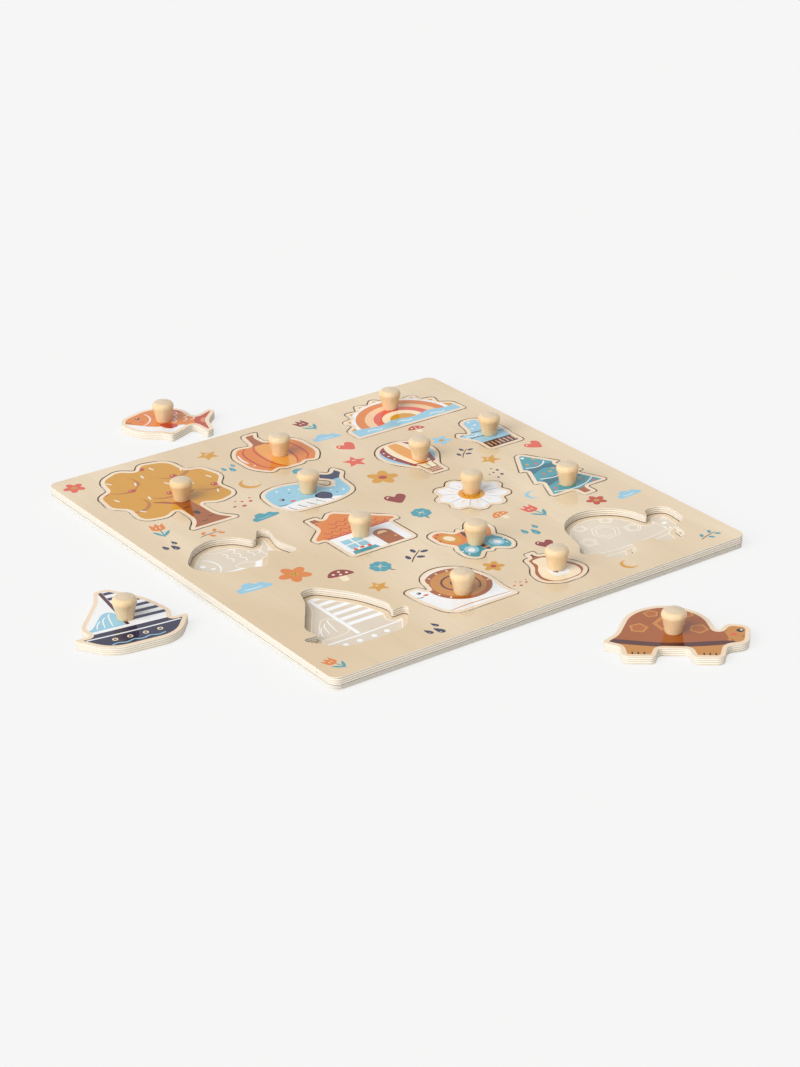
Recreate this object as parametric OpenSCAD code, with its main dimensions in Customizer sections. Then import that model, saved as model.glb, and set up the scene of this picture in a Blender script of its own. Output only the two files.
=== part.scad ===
// Wooden peg puzzle: a plywood frame with fifteen contour-cut recesses on a plywood backing,
// and fifteen picture pieces that lift out by their turned knobs. Millimetres, Z up.
// The origin is the middle of the backing's underside. The pictures stand upright along +Y.

/* [Board] */
// Width of the board, along X
board_w = 300; // [290:1:340]
// Length of the board, along Y
board_l = 322; // [312:1:360]
// Radius of the board's corners
board_corner_r = 6; // [3:0.5:9]
// Thickness of the frame sheet, and so the depth of the recesses
frame_t = 5; // [4.5:0.5:8]
// Thickness of the backing sheet
backing_t = 3; // [2:0.5:5]
// Step in from the frame's edge to the backing's edge
backing_step = 0.3; // [0.1:0.1:1]

/* [Fit] */
// Gap between a picture piece and its recess, all the way round
kerf = 0.8; // [0.5:0.1:1.1]
// Gap around a knob's spigot in its hole, filled by the glue
glue_gap = 0.05; // [0.03:0.01:0.1]
// Gap under the end of a spigot
spigot_end_gap = 0.2; // [0.1:0.1:0.4]

/* [Knobs] */
// Height of a knob above its piece
knob_h = 14.5; // [12:0.5:20]
// Widest diameter, at the head
knob_head_d = 14.6; // [13:0.2:16]
// Diameter of the foot, where the knob stands on its piece
knob_foot_d = 10; // [9:0.2:12]
// Radius of the rounded shoulder
knob_shoulder_r = 3.2; // [2.4:0.2:4]
// Rise of the domed top
knob_dome_h = 0.6; // [0.3:0.1:1]
// Diameter of the spigot under the foot
spigot_d = 6; // [4:0.5:7]
// Length of the spigot
spigot_l = 3.4; // [2.5:0.1:3.8]

/* [Seated picture pieces] */
// Thickness of every picture piece
piece_t = 5; // [4.5:0.5:8]
// Width of the rising sun
sun_w = 88; // [80:1:92]
// Height of the rising sun
sun_h = 50; // [44:1:54]
// Width of the pumpkin
pumpkin_w = 54; // [48:1:58]
// Height of the pumpkin
pumpkin_h = 62; // [56:1:66]
// Width of the broad tree
tree_w = 84; // [76:1:88]
// Height of the broad tree
tree_h = 106; // [98:1:110]
// Width of the whale
whale_w = 66; // [60:1:70]
// Height of the whale
whale_h = 44; // [40:1:48]
// Width of the balloon
balloon_w = 40; // [36:1:44]
// Height of the balloon
balloon_h = 57; // [52:1:60]
// Width of the mitten
mitten_w = 36; // [33:1:40]
// Height of the mitten
mitten_h = 50; // [46:1:54]
// Width of the house
house_w = 62; // [58:1:66]
// Height of the house
house_h = 61; // [56:1:64]
// Width of the daisy
daisy_w = 49; // [46:1:54]
// Height of the daisy
daisy_h = 47; // [44:1:52]
// Width of the fir tree
fir_w = 44; // [40:1:48]
// Height of the fir tree
fir_h = 74; // [68:1:78]
// Width of the butterfly
butterfly_w = 42; // [38:1:45]
// Height of the butterfly
butterfly_h = 46; // [42:1:50]
// Width of the snail
snail_w = 54; // [50:1:58]
// Height of the snail
snail_h = 55; // [50:1:58]
// Width of the pear
pear_w = 35; // [32:1:38]
// Height of the pear
pear_h = 44; // [40:1:48]

/* [Loose picture pieces] */
// Width of the fish
fish_w = 62; // [56:1:66]
// Height of the fish
fish_h = 48; // [44:1:52]
// Width of the sailing boat
boat_w = 68; // [62:1:72]
// Height of the sailing boat
boat_h = 72; // [66:1:76]
// Width of the tortoise
tortoise_w = 82; // [76:1:86]
// Height of the tortoise
tortoise_h = 62; // [56:1:68]
// Turn of the loose fish on the table, degrees
fish_turn = -33; // [-60:1:0]
// Turn of the loose boat on the table, degrees
boat_turn = -8; // [-30:1:10]
// Turn of the loose tortoise on the table, degrees
tortoise_turn = -39; // [-60:1:0]

/* [Hidden] */
$fn = 64;
// How far a chord of an outline may lie from its arc
arc_sag = 0.05;
overrun = 1;
// A rounded corner takes at most this share of each edge beside it
edge_room_share = 0.47;
// Least radius in a notch, so that the recess round it keeps a radius too
notch_r = 2 * kerf;

// The knob's flank bends this little from a straight taper, and meets the shoulder at this slope
flank_line_share = 0.6;
flank_slope = 20;
flank_steps = 5;
shoulder_step = 11;
dome_steps = 3;

sun_rays = 9;
daisy_petals = 9;

// Outlines run anticlockwise. Each corner is a share of the width from the middle, a share
// of the height from the middle, and the share of the room there that its rounding takes.
sun_foot_share = 0.30;
sun_notch_share = 0.85;
sun_corner_shares = concat(
    [[-0.5, -0.5, 0.5], [0.5, -0.5, 0.5], [0.5, -0.5 + sun_foot_share / 2, 0.6]],
    [for (k = [1:2 * sun_rays - 1])
        let (reach = k % 2 == 0 ? sun_notch_share : 1, a = k * 90 / sun_rays)
        [0.5 * reach * cos(a), (1 - sun_foot_share / 2) * reach * sin(a)
            - 0.5 + sun_foot_share / 2, k % 2 == 0 ? 0.3 : 0.7]],
    [[-0.5, -0.5 + sun_foot_share / 2, 0.6]]
);

pumpkin_corner_shares = [
    [-0.13, -0.48, 0.8], [0.13, -0.48, 0.8], [0.20, -0.44, 0.5], [0.34, -0.49, 0.9],
    [0.53, -0.30, 1], [0.53, 0.08, 1], [0.34, 0.27, 0.9], [0.12, 0.23, 0.4],
    [0.11, 0.38, 0.5], [0.20, 0.50, 0.6], [-0.06, 0.50, 0.6], [-0.12, 0.23, 0.4],
    [-0.34, 0.27, 0.9], [-0.53, 0.08, 1], [-0.53, -0.30, 1], [-0.34, -0.49, 0.9],
    [-0.20, -0.44, 0.5]
];

tree_corner_shares = [
    [-0.24, -0.50, 0.6], [0.24, -0.50, 0.6], [0.11, -0.38, 0.7], [0.11, -0.20, 0.5],
    [0.24, -0.26, 0.8], [0.46, -0.21, 1], [0.42, -0.03, 0.4], [0.54, 0.08, 0.9],
    [0.47, 0.27, 0.9], [0.35, 0.29, 0.4], [0.33, 0.48, 1], [0.08, 0.53, 0.9],
    [0.00, 0.45, 0.4], [-0.12, 0.53, 0.9], [-0.34, 0.45, 1], [-0.37, 0.29, 0.4],
    [-0.50, 0.24, 0.9], [-0.53, 0.05, 0.9], [-0.42, -0.03, 0.4], [-0.45, -0.22, 1],
    [-0.23, -0.26, 0.8], [-0.11, -0.20, 0.5], [-0.11, -0.38, 0.7]
];

whale_corner_shares = [
    [-0.42, -0.50, 1], [0.10, -0.52, 1], [0.38, -0.36, 0.9], [0.41, 0.10, 0.8],
    [0.52, 0.28, 0.6], [0.46, 0.52, 0.7], [0.36, 0.36, 0.5], [0.26, 0.52, 0.7],
    [0.17, 0.28, 0.6], [0.28, 0.10, 0.7], [0.19, -0.04, 0.9], [0.06, 0.34, 0.9],
    [-0.24, 0.46, 1], [-0.48, 0.34, 1], [-0.53, -0.10, 0.8]
];

balloon_corner_shares = [
    [-0.19, -0.50, 0.5], [0.19, -0.50, 0.5], [0.19, -0.30, 0.6], [0.50, 0.00, 1],
    [0.54, 0.30, 1], [0.26, 0.52, 1], [-0.26, 0.52, 1], [-0.54, 0.30, 1],
    [-0.50, 0.00, 1], [-0.19, -0.30, 0.6]
];

mitten_corner_shares = [
    [-0.36, -0.50, 0.5], [0.40, -0.50, 0.5], [0.40, -0.27, 0.5], [0.44, -0.10, 0.9],
    [0.46, 0.34, 1], [0.22, 0.53, 1], [-0.10, 0.50, 1], [-0.19, 0.20, 0.7],
    [-0.26, 0.10, 0.5], [-0.40, 0.22, 0.8], [-0.54, 0.08, 0.9], [-0.34, -0.16, 0.8]
];

house_corner_shares = [
    [-0.40, -0.50, 0.3], [0.40, -0.50, 0.3], [0.40, -0.04, 0.3], [0.50, -0.04, 0.6],
    [0.51, 0.06, 0.6], [0.04, 0.50, 0.5], [-0.04, 0.50, 0.5], [-0.16, 0.39, 0.4],
    [-0.16, 0.49, 0.5], [-0.32, 0.49, 0.5], [-0.32, 0.23, 0.4], [-0.51, 0.06, 0.6],
    [-0.50, -0.04, 0.6], [-0.40, -0.04, 0.3]
];

daisy_notch_share = 0.84;
daisy_petal_half = 62 / daisy_petals;
daisy_corner_shares = [for (k = [0:daisy_petals - 1], side = [-1:1])
    let (reach = side == 1 ? daisy_notch_share : 1.02, step = 360 / daisy_petals,
         a = 90 + k * step + (side == 1 ? step / 2 : (2 * side + 1) * daisy_petal_half))
    [reach * cos(a) / 2, reach * sin(a) / 2, side == 1 ? 0.5 : 0.9]];

fir_corner_shares = [
    [-0.12, -0.50, 0.4], [0.12, -0.50, 0.4], [0.12, -0.37, 0.5], [0.53, -0.37, 0.5],
    [0.32, -0.09, 0.4], [0.45, -0.09, 0.6], [0.25, 0.17, 0.4], [0.37, 0.17, 0.6],
    [0.00, 0.54, 0.5], [-0.37, 0.17, 0.6], [-0.25, 0.17, 0.4], [-0.45, -0.09, 0.6],
    [-0.32, -0.09, 0.4], [-0.53, -0.37, 0.5], [-0.12, -0.37, 0.5]
];

butterfly_corner_shares = [
    [0.00, -0.42, 0.8], [0.09, -0.36, 0.5], [0.30, -0.53, 0.9], [0.50, -0.36, 1],
    [0.46, -0.10, 0.9], [0.40, -0.02, 0.5], [0.54, 0.16, 0.9], [0.53, 0.47, 0.9],
    [0.26, 0.53, 1], [0.08, 0.32, 0.5], [0.00, 0.42, 0.8], [-0.08, 0.32, 0.5],
    [-0.26, 0.53, 1], [-0.53, 0.47, 0.9], [-0.54, 0.16, 0.9], [-0.40, -0.02, 0.5],
    [-0.46, -0.10, 0.9], [-0.50, -0.36, 1], [-0.30, -0.53, 0.9], [-0.09, -0.36, 0.5]
];

snail_corner_shares = [
    [-0.40, -0.50, 0.9], [0.53, -0.50, 0.6], [0.49, -0.32, 0.6], [0.53, 0.02, 1],
    [0.40, 0.40, 1], [0.10, 0.53, 1], [-0.18, 0.42, 1], [-0.26, 0.08, 0.5],
    [-0.29, 0.24, 0.8], [-0.52, 0.26, 0.9], [-0.51, -0.04, 0.8]
];

pear_corner_shares = [
    [-0.26, -0.52, 1], [0.26, -0.52, 1], [0.54, -0.32, 1], [0.48, -0.04, 1],
    [0.30, 0.12, 0.9], [0.24, 0.36, 1], [0.10, 0.37, 0.5], [0.14, 0.50, 0.6],
    [-0.08, 0.50, 0.6], [-0.10, 0.37, 0.5], [-0.24, 0.36, 1], [-0.30, 0.12, 0.9],
    [-0.48, -0.04, 1], [-0.54, -0.32, 1]
];

fish_corner_shares = [
    [-0.52, -0.10, 1], [-0.32, -0.38, 1], [-0.04, -0.42, 0.7], [0.06, -0.51, 0.7],
    [0.16, -0.34, 0.6], [0.28, -0.12, 0.7], [0.44, -0.40, 0.6], [0.51, -0.32, 0.6],
    [0.44, 0.00, 0.7], [0.51, 0.32, 0.6], [0.44, 0.40, 0.6], [0.28, 0.12, 0.7],
    [0.16, 0.40, 0.8], [-0.06, 0.52, 0.8], [-0.30, 0.42, 0.9], [-0.52, 0.10, 1]
];

boat_corner_shares = [
    [-0.30, -0.50, 0.9], [0.32, -0.50, 0.9], [0.53, -0.20, 0.6], [0.36, -0.21, 0.5],
    [0.42, -0.08, 0.8], [0.32, 0.22, 0.9], [0.08, 0.51, 0.8], [-0.05, 0.50, 0.6],
    [-0.12, 0.32, 0.6], [-0.40, -0.06, 0.8], [-0.36, -0.21, 0.5], [-0.53, -0.20, 0.6]
];

tortoise_corner_shares = [
    [-0.38, -0.50, 0.6], [-0.16, -0.50, 0.6], [-0.13, -0.34, 0.5], [0.08, -0.34, 0.5],
    [0.11, -0.50, 0.6], [0.32, -0.50, 0.6], [0.35, -0.27, 0.6], [0.50, -0.22, 0.9],
    [0.53, 0.12, 0.9], [0.36, 0.16, 0.8], [0.29, -0.02, 0.5], [0.22, 0.34, 1],
    [-0.06, 0.53, 1], [-0.34, 0.36, 1], [-0.43, -0.08, 0.6], [-0.53, -0.24, 0.6],
    [-0.40, -0.32, 0.5]
];

// The pictures in rows from the left and in columns from the top. The first row and the first
// column that name a picture place it, and a later one only leaves room for it.
ROWS = [
    ["tree", "pumpkin", "sun"],
    ["tree", "whale", "balloon", "mitten"],
    ["fish", "house", "daisy", "fir"],
    ["boat", "snail", "pear", "tortoise"],
    ["fish", "house", "butterfly", "fir"]
];
COLUMNS = [
    ["tree", "fish", "boat"],
    ["pumpkin", "whale", "house", "butterfly", "pear"],
    ["sun", "mitten", "fir", "tortoise"],
    ["sun", "balloon", "daisy", "butterfly", "pear"],
    ["pumpkin", "whale", "house", "snail"]
];
// Wood before each recess of a row or column, as shares of what its recesses leave of the board
row_gap_shares = [
    [0.1705, 0.2283, 0.4075],
    [0.1746, -0.0459, 0.3950, 0.2929],
    [0.1449, 0.1488, 0.3864, 0.1475],
    [0.2308, 0.1282, 0.2985, 0.1190],
    [0.1328, 0.1364, -0.0706, 0.6435]
];
column_gap_shares = [
    [0.0950, 0.1797, 0.4473],
    [0.1595, 0.2454, 0.1807, -0.0063, 0.1541],
    [0.1168, 0.1972, 0.1880, 0.2178],
    [0.1328, 0.2479, 0.1911, 0.0857, 0.1255],
    [0.0972, 0.1494, 0.1100, 0.4228]
];
// Where the loose pieces lie on the table, as shares of the board's width and length
table_shares = [[-0.107, 0.652], [-0.670, -0.065], [0.127, -0.699]];
// Knob places as shares of each piece's width and height from its middle
knob_shares = [
    [0.03, 0.10], [0.04, -0.14], [0.02, -0.08], [-0.04, 0.00], [0.05, -0.04],
    [0.06, -0.06], [-0.04, -0.12], [0.03, 0.05], [-0.06, -0.24], [-0.04, -0.08],
    [0.02, -0.13], [0.04, -0.10], [-0.05, 0.02], [0.02, -0.04], [-0.02, -0.02]
];

MOTIFS = ["sun", "pumpkin", "tree", "whale", "balloon", "mitten", "house", "daisy", "fir",
    "butterfly", "snail", "pear", "fish", "boat", "tortoise"];

motif_count = len(MOTIFS);
piece_colours = ["goldenrod", "darkorange", "peru", "lightskyblue", "indianred",
    "lightsteelblue", "sandybrown", "whitesmoke", "cadetblue", "orange", "sienna",
    "burlywood", "coral", "slategray", "saddlebrown"];
piece_sizes = [
    [sun_w, sun_h], [pumpkin_w, pumpkin_h], [tree_w, tree_h], [whale_w, whale_h],
    [balloon_w, balloon_h], [mitten_w, mitten_h], [house_w, house_h],
    [daisy_w, daisy_h], [fir_w, fir_h], [butterfly_w, butterfly_h], [snail_w, snail_h],
    [pear_w, pear_h], [fish_w, fish_h], [boat_w, boat_h], [tortoise_w, tortoise_h]
];
corner_shares = [
    sun_corner_shares, pumpkin_corner_shares, tree_corner_shares, whale_corner_shares,
    balloon_corner_shares, mitten_corner_shares, house_corner_shares,
    daisy_corner_shares, fir_corner_shares, butterfly_corner_shares,
    snail_corner_shares, pear_corner_shares, fish_corner_shares, boat_corner_shares,
    tortoise_corner_shares
];
// The last pictures lie loose on the table, and all before them are seated
loose_turns = [fish_turn, boat_turn, tortoise_turn];
seated = motif_count - len(loose_turns);

function unit(v) = v / norm(v);
// The sum of the first n entries
function total(v, n) = n < 1 ? 0 : v[n - 1] + total(v, n - 1);
function motif(name) = [for (i = [0:motif_count - 1]) if (MOTIFS[i] == name) i][0];

// How far along the board, from its middle, picture i's recess lies in its row or column
function along(lines, gap_shares, i, axis, whole) =
    let (
        found = [for (k = [0:len(lines) - 1]) for (p = [0:len(lines[k]) - 1])
            if (lines[k][p] == MOTIFS[i]) [k, p]][0],
        line = found.x,
        place = found.y,
        sizes = [for (name = lines[line]) piece_sizes[motif(name)][axis] + 2 * kerf],
        spare = whole - total(sizes, len(sizes))
    )
    total(gap_shares[line], place + 1) * spare + total(sizes, place) + sizes[place] / 2 - whole / 2;

function home(i) = [
    along(ROWS, row_gap_shares, i, 0, board_w), -along(COLUMNS, column_gap_shares, i, 1, board_l)
];
function table_place(i) =
    [table_shares[i - seated].x * board_w, table_shares[i - seated].y * board_l];
function knob_place(i) =
    [knob_shares[i].x * piece_sizes[i].x, knob_shares[i].y * piece_sizes[i].y];

// The arc that rounds corner b between a and c, moved outwards by grow
function corner_arc(a, b, c, rounding, grow) =
    let (
        to_a = unit(a - b),
        to_c = unit(c - b),
        half = acos(to_a * to_c) / 2,
        side = sign(cross(b - a, c - b)),
        room = tan(half) * min(norm(a - b), norm(c - b)) * edge_room_share,
        r = side > 0 ? rounding * room : min(room, max(rounding * room, notch_r)),
        centre = b + unit(to_a + to_c) * r / sin(half),
        start = b + to_a * r / tan(half) - centre,
        first = atan2(start.y, start.x),
        turn = side * (180 - 2 * half),
        step = 2 * acos(1 - min(arc_sag / r, 0.05)),
        steps = max(2, ceil(abs(turn) / step)),
        grown_r = r + side * grow
    )
    grown_r <= 0 ? [centre - unit(to_a + to_c) * grown_r / sin(half)] :
    [for (k = [0:steps])
        let (angle = first + turn * k / steps)
        centre + grown_r * [cos(angle), sin(angle)]];

// The closed outline through corners, each with its share of rounding, moved outwards by grow
function rounded(corners, roundings, grow) =
    let (n = len(corners))
    [for (k = [0:n - 1])
        each corner_arc(corners[(k + n - 1) % n], corners[k], corners[(k + 1) % n],
            roundings[k], grow)];

function box_size(points) =
    let (x = [for (p = points) p.x], y = [for (p = points) p.y])
    [max(x) - min(x), max(y) - min(y)];

// The outline of picture i about its own middle. Its corners are first spread so that the
// rounded shape, and not the corners, has the picture's width and height.
function outline(i, grow) =
    let (
        size = piece_sizes[i],
        roundings = [for (q = corner_shares[i]) q.z],
        drawn = [for (q = corner_shares[i]) [q.x * size.x, q.y * size.y]],
        box = box_size(rounded(drawn, roundings, 0)),
        spread = [for (p = drawn) [p.x * size.x / box.x, p.y * size.y / box.y]]
    )
    rounded(spread, roundings, grow);

// Half profile of a knob and its spigot, from the end of the spigot to the top
function knob_profile() =
    let (
        foot_r = knob_foot_d / 2,
        dome_r = knob_head_d / 2 - knob_shoulder_r,
        shoulder_z = knob_h - knob_dome_h - knob_shoulder_r,
        brim_r = dome_r + knob_shoulder_r * cos(flank_slope),
        brim_z = shoulder_z - knob_shoulder_r * sin(flank_slope)
    )
    concat(
        [[0, -spigot_l], [spigot_d / 2, -spigot_l], [spigot_d / 2, 0]],
        [for (k = [0:flank_steps - 1])
            let (t = k / flank_steps)
            [foot_r + (brim_r - foot_r) * (flank_line_share * t + (1 - flank_line_share) * t * t),
             brim_z * t]],
        [for (a = [-flank_slope:shoulder_step:90 - shoulder_step])
            [dome_r + knob_shoulder_r * cos(a), shoulder_z + knob_shoulder_r * sin(a)]],
        [for (k = [0:dome_steps])
            let (s = 1 - k / dome_steps)
            [dome_r * s, knob_h - knob_dome_h * s * s]]
    );

// A sheet with rounded corners, its sides drawn in by inset
module sheet_outline(inset) {
    w = board_w - 2 * inset;
    l = board_l - 2 * inset;
    r = board_corner_r - inset;
    square([w - 2 * r, l], center = true);
    square([w, l - 2 * r], center = true);
    for (x = [-1, 1], y = [-1, 1])
        translate([x * (w / 2 - r), y * (l / 2 - r)]) circle(r = r);
}

// Moves what is drawn about a picture's middle to where that picture lies
module lay(i) {
    if (i < seated) translate([home(i).x, home(i).y, backing_t]) children();
    else translate(table_place(i)) rotate(loose_turns[i - seated]) children();
}

module frame_board() {
    color("wheat") translate([0, 0, backing_t]) linear_extrude(frame_t) difference() {
        sheet_outline(0);
        for (i = [0:motif_count - 1])
            translate(home(i)) polygon(outline(i, kerf));
    }
}

module backing_board() {
    color("tan") linear_extrude(backing_t) sheet_outline(backing_step);
}

module picture_piece(i) {
    color(piece_colours[i]) lay(i) difference() {
        linear_extrude(piece_t) polygon(outline(i, 0));
        translate([knob_place(i).x, knob_place(i).y, piece_t - spigot_l - spigot_end_gap])
            cylinder(d = spigot_d + 2 * glue_gap, h = spigot_l + spigot_end_gap + overrun);
    }
}

module knob(i) {
    color("burlywood") lay(i)
        translate([knob_place(i).x, knob_place(i).y, piece_t])
            rotate_extrude() polygon(knob_profile());
}

frame_board();
backing_board();
for (i = [0:motif_count - 1]) {
    picture_piece(i);
    knob(i);
}
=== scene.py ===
import math

import bpy
from mathutils import Matrix, Vector
from mathutils.geometry import delaunay_2d_cdt


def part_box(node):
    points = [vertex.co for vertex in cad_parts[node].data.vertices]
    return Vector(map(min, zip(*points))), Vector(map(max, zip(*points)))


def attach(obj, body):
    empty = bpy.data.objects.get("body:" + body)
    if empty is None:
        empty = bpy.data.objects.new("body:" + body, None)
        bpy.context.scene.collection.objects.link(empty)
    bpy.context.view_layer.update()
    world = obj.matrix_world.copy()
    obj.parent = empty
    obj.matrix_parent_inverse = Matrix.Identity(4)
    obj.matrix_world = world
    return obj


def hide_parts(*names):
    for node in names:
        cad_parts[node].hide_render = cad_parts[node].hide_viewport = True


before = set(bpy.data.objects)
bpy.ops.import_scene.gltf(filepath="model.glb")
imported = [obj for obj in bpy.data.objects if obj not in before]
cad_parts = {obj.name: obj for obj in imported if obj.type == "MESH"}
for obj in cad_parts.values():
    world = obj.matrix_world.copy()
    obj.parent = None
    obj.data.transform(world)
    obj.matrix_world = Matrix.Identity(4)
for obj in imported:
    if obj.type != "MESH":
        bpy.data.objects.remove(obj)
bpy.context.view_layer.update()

MM = 0.001
# Each picture's main colour
SLOTS = {"sun": "mustard", "pumpkin": "orange", "tree": "mustard", "whale": "sky", "balloon": "red",
         "mitten": "sky", "house": "orange", "daisy": "white", "fir": "teal", "butterfly": "orange",
         "snail": "brown", "pear": "tan", "fish": "orange", "boat": "slate", "tortoise": "brown"}
PICTURES = list(SLOTS)
# How far each loose piece is turned on the table, in degrees
LOOSE = {"fish": -33, "boat": -8, "tortoise": -39}
# The heights in millimetres at which the board's two sheets meet and at which it ends
JOINT_Z, TOP_Z = (round(corner.z / MM, 3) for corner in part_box("frame_board"))
SHEET_T = TOP_Z - JOINT_Z


# Outlines in one plane, in millimetres

# Corners of the frame's meshes that lie nearer than this are one, in metres
SAME = 5e-6


def sides(loop):
    """The sides of a closed loop, each as the two items at its ends."""
    return zip(loop, loop[1:] + loop[:1])


def closed_loops(rings):
    """The boundaries of a set of faces, which are rings of points. Their faces are on their left."""
    edges = {}
    for ring in rings:
        for a, b in sides(ring):
            if (b, a) in edges:
                del edges[(b, a)]
            elif a != b:
                edges[(a, b)] = True
    follow = {a: b for a, b in edges}
    loops = []
    while follow:
        start, at = next(iter(follow.items()))
        loop = [start]
        del follow[start]
        while at != start:
            loop.append(at)
            at = follow.pop(at)
        loops.append(loop)
    return loops


def flat_loops(node):
    """The closed outlines of a node's flat top, the widest one first."""
    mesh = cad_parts[node].data
    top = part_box(node)[1].z
    points, rings = {}, []
    for face in mesh.polygons:
        corners = [mesh.vertices[v].co for v in face.vertices]
        if all(abs(c.z - top) <= SAME for c in corners):
            ring = [(round(c.x / SAME), round(c.y / SAME)) for c in corners]
            rings.append(ring)
            for key, c in zip(ring, corners):
                points.setdefault(key, (c.x / MM, c.y / MM))
    loops = [[points[key] for key in loop] for loop in closed_loops(rings)]
    return sorted(loops, key=lambda loop: -abs(area(loop)))


def area(loop):
    return sum(a[0] * b[1] - b[0] * a[1] for a, b in sides(loop)) / 2


def anticlockwise(loop):
    return loop[::-1] if area(loop) < 0 else loop


def unit(degrees):
    """The unit vector at an angle."""
    return math.cos(math.radians(degrees)), math.sin(math.radians(degrees))


def turned(points, degrees):
    c, s = unit(degrees)
    return [(x * c - y * s, x * s + y * c) for x, y in points]


def limits(points):
    xs, ys = [p[0] for p in points], [p[1] for p in points]
    return min(xs), max(xs), min(ys), max(ys)


def middle(points):
    left, right, low, high = limits(points)
    return (left + right) / 2, (low + high) / 2


def extent(points):
    left, right, low, high = limits(points)
    return right - left, high - low


def left_of(a, b):
    """The unit vector to the left of the way from one point to another."""
    dx, dy = b[0] - a[0], b[1] - a[1]
    d = math.hypot(dx, dy) or 1
    return -dy / d, dx / d


def spaced(loop, step):
    """The loop with points added, so that no side is much longer than the step."""
    out = []
    for a, b in sides(loop):
        n = max(1, int(math.dist(a, b) / step))
        out += [(a[0] + (b[0] - a[0]) * k / n, a[1] + (b[1] - a[1]) * k / n) for k in range(n)]
    return out


def drawn_in(loop, depth, step=0.5, slack=0.04):
    """The loop moved inwards by depth, without the points that come too near another side."""
    loop = spaced(anticlockwise(loop), step)
    nearest = depth - slack
    out = []
    for k, point in enumerate(loop):
        left = left_of(loop[k - 1], loop[(k + 1) % len(loop)])
        x, y = point[0] + left[0] * depth, point[1] + left[1] * depth
        if min((x - q[0]) ** 2 + (y - q[1]) ** 2 for q in loop) > nearest ** 2:
            if not out or math.dist((x, y), out[-1]) > step * 0.4:
                out.append((x, y))
    return out


# Curves and pictures

def spline(a, b, c, d, steps=6):
    """Points on a smooth curve from b towards c, where a comes before them and d after."""
    return [tuple(0.5 * (2 * q + (r - p) * t + (2 * p - 5 * q + 4 * r - s) * t * t
                         + (3 * q - p - 3 * r + s) * t ** 3) for p, q, r, s in zip(a, b, c, d))
            for t in (k / steps for k in range(steps))]


def smooth(points):
    """A closed curve through given points."""
    n = len(points)
    return [p for k in range(n) for p in spline(*(points[(k + j) % n] for j in (-1, 0, 1, 2)))]


def through(points):
    """An open curve through given points."""
    ends = [points[0]] + points + [points[-1]]
    return [p for k in range(len(points) - 1) for p in spline(*ends[k:k + 4])] + [points[-1]]


def mirrored(points):
    """One way round through the points and their mirror images about x = 0."""
    return points + [(-x, y) for x, y in reversed(points) if x]


def oval(x, y, rx, ry, turn=0, steps=28, first=0, last=360):
    """Points round an ellipse, or round part of it."""
    count = steps if last - first == 360 else steps + 1
    ways = [unit(first + (last - first) * k / steps) for k in range(count)]
    return [(x + u, y + v) for u, v in turned([(rx * c, ry * s) for c, s in ways], turn)]


def ribbon(points, width, taper=0.0):
    """A line of the given width, drawn in towards its ends by taper."""
    left, right = [], []
    last = len(points) - 1
    for k, (x, y) in enumerate(points):
        dx, dy = left_of(points[max(k - 1, 0)], points[min(k + 1, last)])
        h = width / 2 * (1 - taper * (2 * k / last - 1) ** 2)
        left.append((x + dx * h, y + dy * h))
        right.append((x - dx * h, y - dy * h))
    return right + left[::-1]


# A background's reach from the middle of its picture, past every edge
PAST = 60


class Picture:
    """Layers of ink, the later over the earlier. Places are hundredths of a piece's width and height from
    its middle. Radii and the widths of lines are hundredths of the width, so that a circle stays one."""

    def __init__(self, w, h):
        self.w, self.h, self.layers = w / 100, h / 100, []

    def at(self, points):
        return [(x * self.w, y * self.h) for x, y in points]

    def polar(self, x, y, r, degrees):
        """The place at a radius and an angle from another."""
        c, s = unit(degrees)
        return x + r * c, y + r * s * self.w / self.h

    def add(self, ink, loop):
        self.layers.append((ink, loop))

    def shape(self, ink, points):
        self.add(ink, self.at(points))

    def block(self, ink, x0, y0, x1, y1):
        self.shape(ink, [(x0, y0), (x1, y0), (x1, y1), (x0, y1)])

    def fill(self, ink, low=-PAST, high=PAST):
        """All of the print between two heights."""
        self.block(ink, -PAST, low, PAST, high)

    def curve(self, ink, points):
        self.add(ink, smooth(self.at(points)))

    def oval(self, ink, x, y, rx, ry=0, turn=0, first=0, last=360, steps=0):
        """Round, unless ry is given. A large one has more steps."""
        rx, ry = rx * self.w, (ry or rx) * self.w
        steps = steps or (28 if rx < 6 else 64)
        self.add(ink, oval(x * self.w, y * self.h, rx, ry, turn, steps, first, last))

    def dots(self, ink, places, r):
        for x, y in places:
            self.oval(ink, x, y, r, steps=10)

    def line(self, ink, points, width=1.6, taper=0.5):
        self.add(ink, ribbon(through(self.at(points)), width * self.w, taper))

    def bent(self, ink, points, width, taper=0):
        """A line with corners at its points."""
        self.add(ink, ribbon(self.at(points), width * self.w, taper))

    def arc(self, ink, x, y, r, first, last, width, taper):
        points = oval(x * self.w, y * self.h, r * self.w, r * self.w, 0, 16, first, last)
        self.add(ink, ribbon(points, width * self.w, taper))

    def spoke(self, ink, x, y, radii, degrees, width, taper=0):
        self.bent(ink, [self.polar(x, y, r, degrees) for r in radii], width, taper)

    def eye(self, x, y, side=1):
        """A round eye with a glint."""
        self.oval("dark", x, y, 2.6)
        self.oval("white", x + 0.8 * side, y + 1, 0.9)


def draw_sun(p):
    p.fill("mustard")
    for ink, r in (("white", 40.5), ("orange", 37), ("peach", 30), ("coral", 23.5), ("cream", 17),
                   ("mustard", 11)):
        p.oval(ink, 0, -30, r * 1.02, r * 0.99)
    p.curve("sky", [(-60, -27), (-40, -24), (-24, -30), (-8, -24), (8, -30), (24, -24), (40, -30),
        (60, -25), (62, -70), (-62, -70)])
    for x, y in ((-30, -37), (-2, -35), (27, -38)):
        p.line("white", [(x - 7, y), (x - 3.5, y + 2.5), (x, y), (x + 3.5, y - 2), (x + 7, y)], 1.2)


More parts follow.
